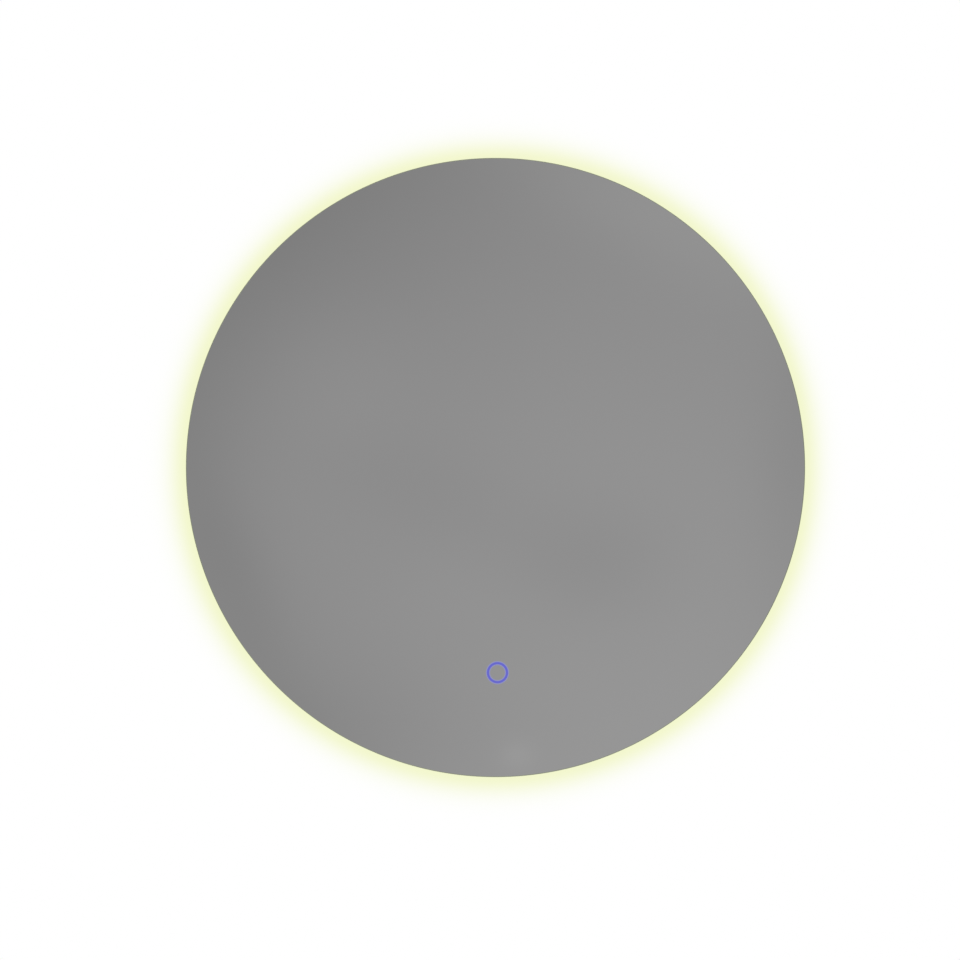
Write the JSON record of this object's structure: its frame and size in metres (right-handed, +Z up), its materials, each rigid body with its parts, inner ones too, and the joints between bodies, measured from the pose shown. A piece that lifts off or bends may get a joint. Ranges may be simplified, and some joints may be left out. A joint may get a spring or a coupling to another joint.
{
  "type": "lighted bathroom mirror",
  "caption": "Frameless round wall mirror with a glowing halo behind its rim and a small lit touch ring, hung on a wall rail by a hooked bracket.",
  "frame": {"origin": "midway between the two screw slots of the wall rail, on the wall", "axes": "+X to the right for someone facing the mirror, +Y into the wall, +Z up"},
  "size_m": [0.5999, 0.042, 0.6],
  "materials": {
    "wall_rail": "galvanised sheet",
    "hanger_bracket": "galvanised sheet",
    "hanger_rivets": "plain",
    "frame_ring": "satin anodised",
    "frame_joiner": "plain",
    "joiner_screws": "plain",
    "frame_bush": "matt black",
    "wall_bumpers": "matt black",
    "led_strip": "white flexible board",
    "led_chips": "yellow phosphor",
    "strip_resistors": "matt",
    "strip_connector": "white moulding",
    "led_diffuser": "opal, lit",
    "mirror_glass": "silvered pane with polished edge",
    "silver_backing": "grey protective paint over silver",
    "bonding_tape": "black foam",
    "chassis_plate": "galvanised sheet",
    "plate_seal": "black foam",
    "plate_screws": "zinc plated",
    "plate_grommets": "matt black",
    "rating_label": "blank brushed plate",
    "driver_base": "white moulding",
    "driver_cover": "white moulding",
    "driver_cover_screws": "zinc plated",
    "driver_board": "green circuit board",
    "driver_transformer": "yellow tape over ferrite",
    "driver_capacitors": "black sleeve",
    "driver_screws": "zinc plated",
    "lead_bushings": "matt black",
    "terminal_box": "white moulding",
    "terminal_box_lid": "white moulding",
    "lid_hinge_pin": "plain",
    "terminal_block": "natural moulding",
    "terminal_screws": "plain",
    "terminal_box_screws": "zinc plated",
    "gland_body": "black moulding",
    "gland_locknut": "black moulding",
    "gland_seal": "grey",
    "gland_nut": "black moulding",
    "sensor_housing": "black moulding",
    "sensor_foam": "black foam",
    "sensor_board": "green circuit board",
    "sensor_leds": "blue lamps",
    "sensor_light_guide": "clear, lit blue",
    "touch_electrode": "copper",
    "supply_link_lead": "white sheath",
    "driver_output_lead": "white sheath",
    "strip_lead": "white sheath",
    "earth_lead": "green and yellow sheath",
    "earth_terminal": "tinned",
    "earth_screw": "zinc plated",
    "cable_clips": "white moulding"
  },
  "bodies": {
    "wall_side": {"wall_rail": "wall_rail"},
    "mirror": {"hanger_bracket": "hanger_bracket", "hanger_rivets": "hanger_rivets", "frame_ring": "frame_ring", "frame_joiner": "frame_joiner", "joiner_screws": "joiner_screws", "frame_bush": "frame_bush", "wall_bumpers": "wall_bumpers", "led_strip": "led_strip", "led_chips": "led_chips", "strip_resistors": "strip_resistors", "strip_connector": "strip_connector", "led_diffuser": "led_diffuser", "mirror_glass": "mirror_glass", "silver_backing": "silver_backing", "bonding_tape": "bonding_tape", "chassis_plate": "chassis_plate", "plate_seal": "plate_seal", "plate_screws": "plate_screws", "plate_grommets": "plate_grommets", "rating_label": "rating_label", "driver_base": "driver_base", "driver_cover": "driver_cover", "driver_cover_screws": "driver_cover_screws", "driver_board": "driver_board", "driver_transformer": "driver_transformer", "driver_capacitors": "driver_capacitors", "driver_screws": "driver_screws", "lead_bushings": "lead_bushings", "terminal_box": "terminal_box", "lid_hinge_pin": "lid_hinge_pin", "terminal_block": "terminal_block", "terminal_screws": "terminal_screws", "terminal_box_screws": "terminal_box_screws", "gland_body": "gland_body", "gland_locknut": "gland_locknut", "gland_seal": "gland_seal", "gland_nut": "gland_nut", "sensor_housing": "sensor_housing", "sensor_foam": "sensor_foam", "sensor_board": "sensor_board", "sensor_leds": "sensor_leds", "sensor_light_guide": "sensor_light_guide", "touch_electrode": "touch_electrode", "supply_link_lead": "supply_link_lead", "driver_output_lead": "driver_output_lead", "strip_lead": "strip_lead", "earth_lead": "earth_lead", "earth_terminal": "earth_terminal", "earth_screw": "earth_screw", "cable_clips": "cable_clips"},
    "terminal_lid": {"terminal_box_lid": "terminal_box_lid"}
  },
  "joints": [
    {"name": "hang_lift", "type": "slide", "parent": "wall_side", "child": "mirror", "axis": [0, 0, 1], "range_m": [0, 0.014]},
    {"name": "lid_open", "type": "hinge", "parent": "mirror", "child": "terminal_lid", "pos_m": [0.092, -0.007, -0.06899], "axis": [1, 0, 0], "range_deg": [0, 110]}
  ]
}
